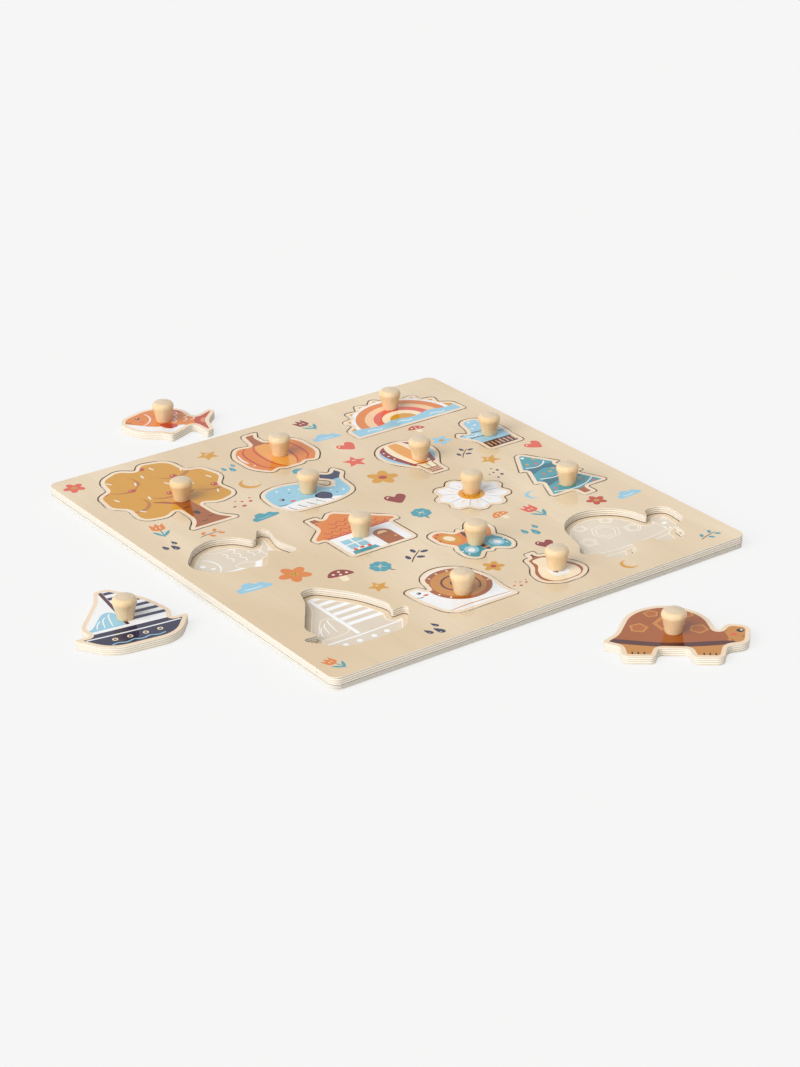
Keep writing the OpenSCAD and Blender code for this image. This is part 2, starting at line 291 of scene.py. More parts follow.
def draw_pumpkin(p):
    p.fill("orange")
    p.oval("amber", 0, -13, 15.5, 40)
    for s in (-1, 1):
        for a, b, c, low in ((7, 15.5, 18, -44), (20, 31.5, 34.5, -43)):
            p.line("rust", [(a * s, 20), (b * s, 8), (c * s, -12), (b * s, -32), (a * s, low)], 2.6, 0.7)
    p.curve("brown", [(-14, 20), (14, 20), (13, 36), (30, 56), (-8, 56), (-13, 36)])
    p.curve("teal", [(10, 20), (20, 29), (36, 24), (42, 13), (28, 13)])
    p.line("white", [(15, 20), (26, 20.5), (35, 16.5)], 1.2)
    p.line("white", [(-39, 8), (-42, -5), (-41, -16)], 2.6)
    p.dots("white", [(-38.5, -24)], 1.4)


def draw_tree(p):
    p.fill("mustard")
    for x, y, r in ((-24, 31, 15), (20, 34, 16), (-34, 2, 13), (33, 4, 14), (-2, 12, 17)):
        p.oval("ochre", x + 1.5, y - 2, r)
        p.oval("mustard", x, y, r * 0.97)
    p.shape("brown", [(-6, -10), (5.5, -10), (7.5, -36), (26, -60), (-26, -60), (-7.5, -36)])
    p.line("brown", [(-2, -16), (-10, -8), (-18, -3)], 3.4, 0.8)
    p.line("brown", [(2, -14), (10, -5), (19, -1)], 3.4, 0.8)
    p.oval("dark", -1, -30, 2.2, 3.4)
    for x, y in ((-3, -20), (3.5, -38), (-4, -42)):
        p.line("dark", [(x - 2, y), (x + 1, y - 0.6), (x + 3, y)], 1)
    for x, y, degrees in ((-28, 36, 30), (-12, 26, -20), (12, 40, 10), (30, 29, -35), (-38, 12, 15),
                          (-16, 4, -10), (8, 16, 25), (24, 8, -15), (40, 10, 20), (-32, -10, 35),
                          (32, -11, -25), (-1, 33, -5)):
        c, s = unit(degrees)
        p.line("white", [(x - 2.6 * s, y + 2.2 * c), (x + 2.6 * s, y - 2.2 * c)], 1.3, 0.3)
    for x, y in ((-20, 19), (19, 23), (1, 3), (-40, 24), (36, -2), (5, 43)):
        p.oval("rust", x, y, 3)
        p.dots("peach", [(x - 0.8, y + 0.9)], 0.7)


def draw_whale(p):
    p.fill("sky")
    p.curve("white", [(-56, -16), (-40, -20), (-20, -17), (2, -27), (24, -50), (-10, -70), (-50, -62)])
    for k in range(5):
        x = -38 + 10 * k
        p.line("slate", [(x, -25 - k), (x + 1.5, -34), (x + 4.5, -42)], 1, 0.4)
    p.curve("slate", [(12, 60), (18, 22), (34, 16), (52, 22), (62, 60), (37, 42)])
    p.curve("slate", [(-4, -16), (6, -10), (12, -22), (6, -36), (-3, -28)])
    p.eye(-34, 0, -1)
    p.oval("coral", -27, -12, 3, 1.8)
    p.line("dark", [(-44, -14), (-40, -17.5), (-35, -17)], 1.1, 0.4)
    p.dots("white", [(-16, 24), (-8, 16), (16, -12), (24, -4), (-28, 28), (26, -22)], 1.3)
    p.dots("slate", [(-20, 14), (18, -24), (-2, 26)], 1)


def draw_balloon(p):
    p.fill("sky")
    for ink, r in (("wine", 37.5), ("cream", 25), ("amber", 12.5)):
        p.curve(ink, mirrored([(0, 52), (r * 0.75, 42), (r, 20), (r * 0.72, -8), (r * 0.36, -26)]))
    p.fill("cream", -33, -20.5)
    for high_x, low_x, width in ((-13, -11, 2), (13, 11, 2), (0, 0, 1.6)):
        p.bent("dark", [(high_x, -20), (low_x, -34)], width)
    p.fill("brown", high=-33.5)
    for y in (-36.5, -40.5):
        p.line("cream", [(-14, y), (0, y - 0.6), (14, y)], 1.6, 0)
    p.line("wine", [(-24, -15), (0, -17.5), (24, -15)], 3.4, 0)
    p.dots("white", mirrored([(31, 30), (31.5, 20), (30, 10)]), 1.8)


def draw_mitten(p):
    p.fill("sky")
    p.line("cocoa", [(-42, -8), (-22, -5.5), (0, -8), (22, -5.5), (44, -8)], 3, 0)
    p.bent("white", [(-40 + 10 * k, 2 if k % 2 else -3) for k in range(9)], 2.6)
    p.line("cocoa", [(-42, 8), (-20, 10), (6, 8), (44, 10)], 3, 0)
    for x, y in ((12, 28), (-2, 20), (26, 20), (10, 40), (30, 36), (-38, 12)):
        for degrees in (0, 60, 120):
            p.spoke("white", x, y, (-3.5, 3.5), degrees, 1.4)
    p.fill("cocoa", high=-25)
    for k in range(8):
        x = -28 + 9 * k
        p.bent("peach", [(x, -29), (x, -41)], 2.2)


def draw_house(p):
    p.fill("white", high=5)
    p.block("brown", -33, 10, -14, 60)
    for y in (30, 36):
        p.bent("peach", [(-30, y), (-17, y)], 1)
    p.shape("orange", mirrored([(60, -2), (60, 3), (3, 52)]))
    for y in (4.5, 12.5, 20.5, 28.5):
        half = 44 - 1.05 * (y - 2)
        count = max(1, int(2 * half / 10.5))
        for k in range(count):
            p.arc("rust", (k - (count - 1) / 2) * 10.5, y, 4.3, 180, 360, 1.2, 0.2)
    p.bent("rust", [(-46, -2.5), (46, -2.5)], 2.2)
    p.block("brown", 6, -47, 26, -22)
    p.oval("brown", 16, -22, 10)
    p.oval("peach", 16, -21.5, 5.5, first=0, last=180)
    p.dots("amber", [(22.5, -34)], 1.5)
    p.block("sky", -29, -34, -7, -13)
    p.bent("white", [(-18, -34), (-18, -13)], 1.8)
    p.bent("white", [(-29, -23.5), (-7, -23.5)], 1.8)
    p.shape("teal", [(-33, -46), (-3, -46), (-5, -38.5), (-31, -38.5)])
    p.dots("coral", [(-26, -36.5), (-18, -35.5), (-10, -36.5)], 2.4)


def draw_daisy(p):
    p.fill("white")
    for k in range(9):
        p.spoke("mist", 0, 0, (17, 25, 33, 40), 40 * k + 110, 2, 0.4)
        p.spoke("peach", 0, 0, (21, 26, 31), 40 * k + 90, 1.6, 0.7)
    p.oval("amber", 0, 0, 17.5)
    p.oval("mustard", 0, 0, 15)
    p.dots("rust", [p.polar(0, 0, 10.5, 36 * k) for k in range(10)], 1.2)


def draw_fir(p):
    p.fill("teal")
    p.curve("deepteal", mirrored([(0, 22), (36, 17), (24, 10), (0, 14.5)]))
    p.curve("deepteal", mirrored([(0, -3), (45, -9), (32, -17), (0, -11.5)]))
    p.block("brown", -20, -60, 20, -36.5)
    p.line("white", [(-20, 23.5), (-6, 20), (8, 22), (18, 27)], 2.2, 0)
    p.line("white", [(-27, -2), (-8, -5.5), (10, -3.5), (26, 3)], 2.2, 0)
    p.line("white", [(-38, -29), (-12, -33.5), (16, -31.5), (38, -24)], 2.2, 0)
    p.dots("mustard", [(-10, 29), (9, 35), (2, 6), (-16, -20), (20, -21), (12, 10)], 2.8)
    p.dots("coral", [(2, 26), (-11, 5), (22, -0.5), (2, -24), (-29, -24), (32, -31)], 2.8)
    p.dots("white", [(-2, 42)], 3)


def draw_butterfly(p):
    p.fill("orange", low=-2)
    p.fill("teal", high=-2)
    for s in (-1, 1):
        p.oval("mustard", 25 * s, 20, 13, 17, -25 * s)
        p.oval("cream", 26 * s, 22, 7, 9.5, -25 * s)
        p.oval("sky", 22 * s, -22, 10.5, 12, 25 * s)
        p.oval("white", 23 * s, -23, 5, 6.2, 25 * s)
        p.dots("cocoa", [(40 * s, 34), (41.5 * s, 22), (33 * s, 40)], 1.8)
        p.dots("white", [(36 * s, -20), (33 * s, -31)], 1.6)
    p.oval("cocoa", 0, -3, 5.2, 36)
    p.dots("cocoa", [(0, 34)], 6.2)
    for y in (-26, -16, -6, 4):
        p.line("mustard", [(-6, y), (0, y - 1), (6, y)], 2.6, 0)


def draw_snail(p):
    x, y = 11, 6
    p.fill("white")
    p.oval("brown", x, y, 36.5, 37.5)
    p.oval("caramel", x, y, 30, 31)
    p.bent("cocoa", [p.polar(x, y, 24.5 * (1 - k / 46), 18 * k - 60) for k in range(40)], 2.6, 0.3)
    for k in range(11):
        p.spoke("cream", x, y, (31.5, 35), 24 * k - 20, 1.8)
    p.line("caramel", [(-42, -40), (-10, -38.5), (20, -40), (44, -41.5)])
    p.eye(-37, 12, -1)
    p.oval("coral", -33, 4.5, 3, 2)
    p.line("dark", [(-45, 5), (-41, 2), (-37, 3)], 1.4, 0.4)


def draw_pear(p):
    p.fill("brown")
    p.curve("cream", mirrored([(22, -40), (36, -22), (28, -2), (15, 12), (12, 27)]))
    p.curve("white", mirrored([(11, -29), (17, -17), (7, 0)]))
    for s in (-1, 1):
        p.oval("cocoa", 5.5 * s, -16, 3, 5.8, -12 * s)
    p.shape("cocoa", mirrored([(12, 35.5), (20, 60)]))


def draw_fish(p):
    p.fill("orange")
    p.curve("white", [(-54, -8), (-36, -12), (-14, -20), (10, -16), (20, -20), (0, -62), (-40, -50)])
    p.curve("rust", [(-10, 60), (-14, 36), (2, 30), (18, 30), (26, 44)])
    p.curve("rust", [(30, 9), (30, -9), (42, -50), (60, -40), (46, 0), (60, 40), (42, 50)])
    for degrees in (-26, -13, 0, 13, 26):
        c, s = unit(degrees)
        p.line("peach", [(30 + 6 * c, 7.8 * s), (30 + 15 * c, 24 * s)], 1)
    for x, y in ((-6, 20), (-6, 6), (5, 27), (5, 13), (5, -1), (16, 18), (16, 4), (24, 8)):
        p.arc("white", x, y, 4.5, -80, 80, 1.1, 0.3)
    p.arc("white", -40, 5, 21, -50, 50, 1.6, 0.4)
    p.curve("rust", [(-8, -12), (3, -9), (12, -17), (6, -27), (-3, -24)])
    p.eye(-33, 10, -1)
    p.oval("coral", -27, -2, 2.6, 1.8)
    p.line("dark", [(-46, -2), (-42, -5), (-38.5, -3.5)], 1.1, 0.4)


def draw_boat(p):
    p.fill("white", low=-17)
    for k in range(6):
        y = -10 + 10 * k
        p.block("slate", 1.5, y, 60, y + 4.7)
    p.curve("sky", [(-44, -16), (-30, -10), (-13, 10), (-3, 6), (-3, -16), (-20, -20)])
    for k in range(3):
        p.line("white", [(-27 + 7 * k, -13), (-24 + 7 * k, -6 + 5 * k), (-19 + 6 * k, 4 * k)], 1.2)
    p.bent("cocoa", [(-0.5, -25), (-0.5, 46)], 3.4)
    p.fill("white", -20, -15.5)
    p.fill("navy", high=-19.5)
    p.line("white", [(-42, -26.5), (0, -27.5), (42, -26.5)], 1.8, 0)
    portholes = [(-20, -34.5), (-7, -35), (7, -35), (20, -34.5)]
    p.dots("cream", portholes, 2.6)
    p.dots("navy", portholes, 1.4)
    p.line("sky", [(-26, -42.5), (-20, -41), (-13, -43), (-6, -41), (1, -43), (8, -41), (15, -43),
        (22, -41.5)], 1.4, 0.2)


def draw_tortoise(p):
    p.fill("caramel")
    p.curve("brown", [(-44, -18), (-36, 16), (-22, 42), (-3, 52), (16, 40), (27, 16), (33, -18), (0, -23)])
    p.curve("cocoa", [(-46, -17), (-6, -23), (35, -17), (33, -24.5), (-6, -31), (-44, -24.5)])
    for x, y, r, count, first in ((-5, 14, 11.5, 6, 0), (-26, 5, 7.2, 5, 10), (15, 5, 7.2, 5, -10),
                                  (-17, 33.5, 5.8, 5, 30), (7, 33.5, 5.8, 5, -20)):
        for ink, share in (("caramel", 1), ("chestnut", 0.72)):
            p.shape(ink, [p.polar(x, y, r * share, first + 360 * k / count) for k in range(count)])
    for x in (-31, -27, -23, 17, 21, 25):
        p.line("dark", [(x, -46), (x, -41)], 1.2, 0.2)
    p.eye(43, 3)
    p.oval("coral", 38.5, -5, 2.4, 1.6)
    p.line("dark", [(44, -7.5), (46.5, -9.5), (49, -7.5)], 1, 0.4)
    p.dots("brown", [(34, -13), (37, -16), (33, 2)], 1)


DRAWINGS = dict(zip(PICTURES, (
    draw_sun, draw_pumpkin, draw_tree, draw_whale, draw_balloon, draw_mitten, draw_house, draw_daisy,
    draw_fir, draw_butterfly, draw_snail, draw_pear, draw_fish, draw_boat, draw_tortoise)))


# Flat sheets of plywood with printed tops

def cells(outer, holes, masks, layers, bare):
    """Cuts a flat shape along the shapes printed on it. Gives its points, and for each triangle
    the ink of the uppermost shape there, or None where a blind hole is."""
    points, polygons = [], []
    for loop in [outer] + [hole[0] for hole in holes] + masks + [layer[1] for layer in layers]:
        polygons.append(list(range(len(points), len(points) + len(loop))))
        points += [Vector(p) for p in anticlockwise(loop)]
    first_mask = 1 + len(holes)
    first_layer = first_mask + len(masks)
    points, _, faces, _, _, origins = delaunay_2d_cdt(points, [], polygons, 1, 1e-4)
    kept = []
    for face, inside in zip(faces, map(set, origins)):
        if 0 not in inside:
            continue
        kinds = [kind for k, (_, kind) in enumerate(holes, 1) if k in inside]
        if kinds:
            if kinds[0] == "blind":
                kept.append((face, None))
            continue
        top = bare
        for k in sorted(inside):
            if k >= first_layer:
                ink, _, mask = layers[k - first_layer]
                if mask is None or first_mask + mask in inside:
                    top = ink
        kept.append((face, top))
    return [(p.x, p.y) for p in points], kept


def outward(points, loop):
    """How far each point of a boundary moves when its sides move out by one."""
    out = []
    for k, at in enumerate(loop):
        a, b, c = points[loop[k - 1]], points[at], points[loop[(k + 1) % len(loop)]]
        before, after = left_of(a, b), left_of(b, c)
        x, y = -before[0] - after[0], -before[1] - after[1]
        square = x * x + y * y
        stretch = min(2 / square, 1.25) if square > 1e-6 else 0
        out.append((x * stretch, y * stretch))
    return out


# The rounding of a sheet's edges, as its radius in millimetres and the steps of its arc in degrees
ROUND = 0.1
ROUND_ANGLES = (30, 60, 90)


def sheet(name, outer, holes, z0, z1, masks, layers, bare, wall, under, hole_z=None):
    """A watertight sheet with softly rounded edges. Its outlines are those of the CAD part, and the
    printed face is drawn in from them by the rounding."""
    holes = [(shrink(loop, -ROUND) if kind == "through" else loop, kind) for loop, kind in holes]
    points, cut = cells(shrink(outer, ROUND), holes, masks, layers, bare)
    n = len(points)
    verts = [(x, y, z1) for x, y in points] + [(x, y, z0) for x, y in points]
    faces, inks, hard = [], [], set()

    def add(face, ink):
        faces.append(tuple(face))
        inks.append(ink)

    for tri, ink in cut:
        if ink is not None:
            add(tri, ink)
        add((n + k for k in reversed(tri)), under)
    for loop in closed_loops([tri for tri, _ in cut]):
        moves = outward(points, loop)
        side_ink = wall if isinstance(wall, str) else wall([points[k] for k in loop])
        rings = [loop]
        for z, way, angles in ((z1, -1, ROUND_ANGLES), (z0, 1, ROUND_ANGLES[::-1])):
            for c, s in map(unit, angles):
                rings.append(list(range(len(verts), len(verts) + len(loop))))
                reach, level = ROUND * s, z + way * ROUND * (1 - c)
                verts += [(points[k][0] + x * reach, points[k][1] + y * reach, level)
                          for k, (x, y) in zip(loop, moves)]
        rings.append([n + k for k in loop])
        for up, low in zip(rings, rings[1:]):
            for (a, b), (c, d) in zip(sides(up), sides(low)):
                add((a, c, d, b), side_ink)
        hard |= {frozenset(side) for ring in (rings[0], rings[-1]) for side in sides(ring)}
    blind = [tri for tri, ink in cut if ink is None]
    down = {}
    for k in sorted({k for tri in blind for k in tri}):
        down[k] = len(verts)
        verts.append((*points[k], hole_z))
    for tri in blind:
        add((down[k] for k in tri), wall)
    for loop in closed_loops(blind):
        for a, b in sides(loop):
            add((a, b, down[b], down[a]), wall)
            hard |= {frozenset((a, b)), frozenset((down[a], down[b]))}
    return make(name, verts, faces, inks, hard)


def shrink(loop, by):
    """The loop with every side moved inwards by the given length, point for point."""
    loop = anticlockwise(loop)
    moves = outward(loop, range(len(loop)))
    return untangled([(p[0] - m[0] * by, p[1] - m[1] * by) for p, m in zip(loop, moves)])


def crossing(a, b, c, d):
    """Where two sides cross, if they do."""
    ux, uy, vx, vy = b[0] - a[0], b[1] - a[1], d[0] - c[0], d[1] - c[1]
    den = ux * vy - uy * vx
    if abs(den) < 1e-12:
        return None
    t = ((c[0] - a[0]) * vy - (c[1] - a[1]) * vx) / den
    s = ((c[0] - a[0]) * uy - (c[1] - a[1]) * ux) / den
    return (a[0] + t * ux, a[1] + t * uy) if 0 < t < 1 and 0 < s < 1 else None


def untangled(loop, reach=24):
    """The loop without the small knots that a tight corner leaves when it is moved."""
    k = 0
    while k < len(loop):
        n = len(loop)
        for j in range(2, min(reach, n - 2)):
            hit = crossing(loop[k], loop[(k + 1) % n], loop[(k + j) % n], loop[(k + j + 1) % n])
            if hit:
                knot = {(k + 1 + i) % n for i in range(j)}
                loop = [hit if i == (k + 1) % n else q for i, q in enumerate(loop)
                        if i == (k + 1) % n or i not in knot]
                break
        k += 1
    return loop


def placed(name, data):
    """A new object in the scene."""
    item = bpy.data.objects.new(name, data)
    bpy.context.scene.collection.objects.link(item)
    return item


def make(name, verts, faces, inks, hard=()):
    """A mesh object from points in millimetres, each face with the name of its material."""
    used = sorted({k for f in faces for k in f})
    place = {k: i for i, k in enumerate(used)}
    mesh = bpy.data.meshes.new(name)
    mesh.from_pydata([[c * MM for c in verts[k]] for k in used], [], [[place[k] for k in f] for f in faces])
    names = sorted(set(inks))
    for ink in names:
        mesh.materials.append(MATERIALS[ink])
    mesh.polygons.foreach_set("material_index", [names.index(ink) for ink in inks])
    mesh.shade_smooth()
    mesh.set_sharp_from_angle(angle=math.radians(40))
    hard = {frozenset(place[k] for k in pair) for pair in hard}
    for edge in mesh.edges:
        if frozenset(edge.vertices) in hard:
            edge.use_edge_sharp = True
    return placed(name, mesh)


# Materials

def linear(rgb):
    return tuple((c / 255 / 12.92) if c <= 10 else ((c / 255 + 0.055) / 1.055) ** 2.4 for c in rgb) + (1,)


# The light that the lacquer's reflection adds to a colour
GLOSS = 0.11


def under_gloss(rgb):
    """The colour that looks like this one once the lacquer's reflection of a pale room lies over it."""
    return tuple(max((c - GLOSS) / (1 - GLOSS), 0.004) for c in linear(rgb)[:3]) + (1,)


def times(rgb, share):
    return [c * share for c in rgb]


class Nodes:
    """The node tree of a material or a world, and short ways to add to it."""

    def __init__(self, owner):
        owner.use_nodes = True
        self.owner, self.tree = owner, owner.node_tree

    def first(self, kind):
        return next(node for node in self.tree.nodes if node.type == kind)

    def add(self, kind, inputs=(), **settings):
        node = self.tree.nodes.new("ShaderNode" + kind)
        for key, value in settings.items():
            setattr(node, key, value)
        for key, value in dict(inputs).items():
            self.put(node.inputs[key], value)
        return node

    def put(self, socket, value):
        if isinstance(value, bpy.types.NodeSocket):
            self.tree.links.new(value, socket)
        else:
            socket.default_value = value

    def by_ray(self, rays, seen, other):
        """One shader for rays of the given kinds, and another for the rest."""
        path = self.add("LightPath").outputs
        factor = path[rays[0]]
        for ray in rays[1:]:
            factor = self.math("MAXIMUM", factor, path[ray])
        return self.add("MixShader", {"Fac": factor, 1: other, 2: seen}).outputs[0]

    def math(self, operation, a, b):
        return self.add("Math", {0: a, 1: b}, operation=operation).outputs[0]

    def mix(self, factor, a, b):
        return self.add("Mix", {0: factor, 6: a, 7: b}, data_type="RGBA").outputs[2]

    def span(self, value, low, high, to_low=0.0, to_high=1.0, clamp=True):
        """A value from low to high as one from to_low to to_high."""
        return self.add("MapRange", {"Value": value, "From Min": low, "From Max": high, "To Min": to_low,
                                     "To Max": to_high}, clamp=clamp).outputs["Result"]

    def stain(self, tone, where, low, high, share, colour):
        """The tone, with up to a share of another colour as a value goes from low to high."""
        return self.mix(self.span(where, low, high, 0.0, share), tone, colour)

    def ramp(self, value, stops):
        node = self.add("ValToRGB", {"Fac": value})
        points = node.color_ramp.elements
        while len(points) < len(stops):
            points.new(0.5)
        for point, (at, rgb) in zip(points, stops):
            point.position = at
            point.color = linear(rgb)
        return node.outputs["Color"]


class Surface(Nodes):
    """A new material with a principled shader."""

    def __init__(self, name):
        super().__init__(bpy.data.materials.new(name))
        self.where = self.add("TexCoord").outputs["Object"]

    def noise(self, stretch, scale, detail=3, rough=0.55):
        """Noise from 0 to 1 in object space, drawn out along an axis by a small factor there."""
        place = self.add("Mapping", {"Vector": self.where, "Scale": stretch}).outputs[0]
        return self.add("TexNoise", {"Vector": place, "Scale": scale, "Detail": detail,
                                     "Roughness": rough}).outputs["Fac"]

    def normal(self, axis):
        """The surface normal's part along an axis."""
        normal = self.add("NewGeometry").outputs["Normal"]
        return self.add("SeparateXYZ", {"Vector": normal}).outputs[axis]

    def finish(self, colour, roughness, coat, coat_rough, bump, height, specular=0.0):
        shader = self.first("BSDF_PRINCIPLED").inputs
        self.put(shader["Base Color"], colour)
        shader["Roughness"].default_value = roughness
        shader["Specular IOR Level"].default_value = specular
        shader["Coat Weight"].default_value = coat
        shader["Coat Roughness"].default_value = coat_rough
        shader["Coat IOR"].default_value = 1.5
        relief = self.add("Bump", {"Strength": 0.5, "Distance": height, "Height": bump})
        self.put(shader["Normal"], relief.outputs[0])
        return self.owner


# Long birch grain along Y, as the stretch, scale, detail and roughness of a noise
CLOUDS = ((1, 0.6, 1), 9, 2)
FIGURE = ((1, 0.16, 1), 26, 2)
STREAKS = ((1, 0.045, 1), 420, 4, 0.6)
FLECKS = ((1, 0.1, 1), 900, 2, 0.5)


def birch(name, light, dark, coat=1.0, coat_rough=0.09, look=under_gloss):
    """Bare plywood, under lacquer or a duller coat."""
    n = Surface(name)
    streaks = n.noise(*STREAKS)
    tone = n.stain(look(dark), n.noise(*CLOUDS), 0.4, 0.6, 1.0, look(light))
    tone = n.stain(tone, n.noise(*FIGURE), 0.4, 0.64, 0.6, look(times(dark, 0.985)))
    tone = n.stain(tone, streaks, 0.42, 0.68, 0.2, look(times(dark, 0.955)))
    tone = n.stain(tone, n.noise(*FLECKS), 0.66, 0.74, 0.2, look(times(dark, 0.84)))
    return n.finish(tone, 0.5, coat, coat_rough, streaks, 0.00002)


def ink(name, rgb, coat=1.0, coat_rough=0.065, look=under_gloss):
    """Printed ink under lacquer: the wood's grain and the printing's fine grain show faintly."""
    n = Surface(name)
    streaks = n.noise(*STREAKS)
    tone = n.stain(look(rgb), n.noise(*FIGURE), 0.36, 0.68, 0.5, look(times(rgb, 0.975)))
    tone = n.stain(tone, streaks, 0.44, 0.7, 0.3, look(times(rgb, 0.95)))
    tone = n.stain(tone, n.noise((1, 1, 1), 2600, 1), 0.64, 0.78, 0.1, look([(c + 246) / 2 for c in rgb]))
    return n.finish(tone, 0.5, coat, coat_rough, streaks, 0.000015)


# Shares of a sheet's thickness: half a glue line with its blur and without, and the blur below a brow
SOFT, LINE, BLEND = 0.036, 0.016, 0.02


def ply_stops(layers, glue, foot, brow):
    """Ramp stops up the edge of a sheet: the layers of the given shares, a glue line between each two, and
    the dark shares at the foot, a joint line with painted shade, and at the top, painted shade in a narrow
    gap."""
    stops = [(0, JOINT_AND_SHADE), (foot, JOINT_AND_SHADE)] if foot else []
    edge = 0.0
    for k, (width, rgb) in enumerate(layers):
        inset = SOFT if k else foot + SOFT if foot else 0
        stops += [(edge + inset, rgb), (edge + width - SOFT, rgb)]
        edge += width
        if k < len(layers) - 1:
            stops += [(edge - LINE, glue), (edge + LINE, glue)]
    if brow:
        stops = [(at, rgb) for at, rgb in stops if at < 1 - brow - BLEND]
        stops += [(1 - brow - BLEND, layers[-1][1]), (1 - brow, BROW_SHADE), (1, BROW_SHADE)]
    return stops


def plies(name, base, thick, layers, glue, foot=0, brow=0, painted_side_shade=(0.93, 0.935, 0.945)):
    """The edge of a plywood sheet: pale layers between thin glue lines, with fibres, pores and rare voids.
    Edges that face along X, towards or away from the key light, have another shade and fainter lines as
    painted light and shade. A top arris of painted shade is dark in patches."""
    n = Surface(name)
    height = n.add("SeparateXYZ", {"Vector": n.where}).outputs["Z"]
    z = n.span(height, base * MM, (base + thick) * MM, clamp=False)
    z = n.math("ADD", z, n.span(n.noise((1, 1, 0.2), 60, 2), 0, 1, -0.016, 0.016))
    # Painted light and shade: edges that face along X get another tone and washed-out glue lines
    painted_side_layers = [(width, [c * s for c, s in zip(rgb, painted_side_shade)]) for width, rgb in layers]
    painted_side_glue = [c + (k - c) * 0.7 for c, k in zip(glue, painted_side_layers[0][1])]
    painted_side_tone = n.ramp(z, ply_stops(painted_side_layers, painted_side_glue, foot, brow))
    across = n.normal("X")
    tone = n.ramp(z, ply_stops(layers, glue, foot, brow))
    tone = n.stain(tone, n.math("MULTIPLY", across, across), 0.45, 0.9, 1.0, painted_side_tone)
    # The painted shade at the top arris gives way to the plain plies in patches
    if brow:
        patches = n.noise((1, 1, 0.1), 48, 1)
        tone = n.stain(tone, patches, 0.44, 0.62, 0.7, n.ramp(z, ply_stops(layers, glue, foot, 0)))
    fibres = n.noise((1, 1, 0.12), 900, 3, 0.6)
    tone = n.stain(tone, fibres, 0.42, 0.68, 0.18, linear(times(layers[0][1], 0.88)))
    pores = n.noise((1, 1, 1), 2400, 2, 0.5)
    tone = n.stain(tone, pores, 0.6, 0.72, 0.12, linear(times(layers[1][1], 0.8)))
    voids = n.noise((1, 1, 3.2), 150, 1, 0.5)
    tone = n.stain(tone, voids, 0.775, 0.8, 0.85, linear((96, 74, 54)))
    return n.finish(tone, 0.7, 0.0, 0.3, fibres, 0.00004, 0.1)


def turned_wood(name):
    """A turned knob: long grain up its sides, in a tint that changes from knob to knob, end grain on its
    top and fine tool rings."""
    n = Surface(name)
    figure, tint = n.noise((1, 1, 0.12), 130, 2), n.noise((1, 1, 0), 21, 0)
    streaks, flecks = n.noise((1, 1, 0.05), 620, 3, 0.55), n.noise((1, 1, 0.4), 900, 1, 0.5)
    side = n.stain(linear((226, 197, 154)), figure, 0.34, 0.68, 1.0, linear((235, 208, 170)))
    side = n.stain(side, tint, 0.46, 0.6, 0.5, linear((225, 188, 138)))
    side = n.stain(side, streaks, 0.42, 0.7, 0.35, linear((216, 182, 133)))
    side = n.stain(side, flecks, 0.7, 0.76, 0.45, linear((192, 154, 106)))
    pores = n.noise((1, 1, 1), 900, 3, 0.6)
    top = n.stain(linear((209, 188, 158)), pores, 0.36, 0.68, 1.0, linear((220, 201, 172)))
    rings = n.add("TexWave", {"Vector": n.where, "Scale": 260, "Distortion": 0.6, "Detail": 1},
                  wave_type="BANDS", bands_direction="Z").outputs["Fac"]
    return n.finish(n.stain(side, n.normal("Z"), 0.8, 0.96, 1.0, top), 0.5, 1.0, 0.11, rings, 0.000006)


CREAM, TAN, GLUE, PALE_GLUE = (240, 231, 217), (236, 227, 211), (132, 117, 96), (166, 152, 130)
# A dark joint line with painted shade at an edge's foot, and painted shade at the top arris of a narrow gap
JOINT_AND_SHADE, BROW_SHADE = (78, 58, 40), (96, 70, 46)
# Plies from the bottom up. The frame's lowest is lost in the dark joint line, with its painted shade, above
# the backing
EDGE = [(0.31, CREAM), (0.27, TAN), (0.28, CREAM), (0.14, TAN)]
FREE_EDGE = [(0.13, TAN), (0.24, CREAM), (0.25, TAN), (0.24, CREAM), (0.14, TAN)]
BACKING = [(0.31, (222, 217, 208)), (0.38, (214, 208, 197)), (0.31, (225, 220, 211))]
INKS = {
    "white": (242, 243, 245), "orange": (226, 146, 98), "amber": (234, 172, 110), "rust": (196, 106, 66),
    "mustard": (217, 166, 66), "ochre": (194, 140, 52), "sky": (163, 206, 226), "teal": (108, 168, 180),
    "deepteal": (80, 132, 146), "slate": (88, 98, 116), "navy": (86, 92, 110), "dark": (84, 78, 76),
    "brown": (176, 120, 76), "cocoa": (118, 88, 76), "caramel": (206, 152, 104), "chestnut": (190, 126, 78),
    "peach": (243, 205, 168), "cream": (247, 230, 202), "coral": (226, 120, 108), "wine": (158, 62, 72),
    "mist": (206, 211, 217),
}
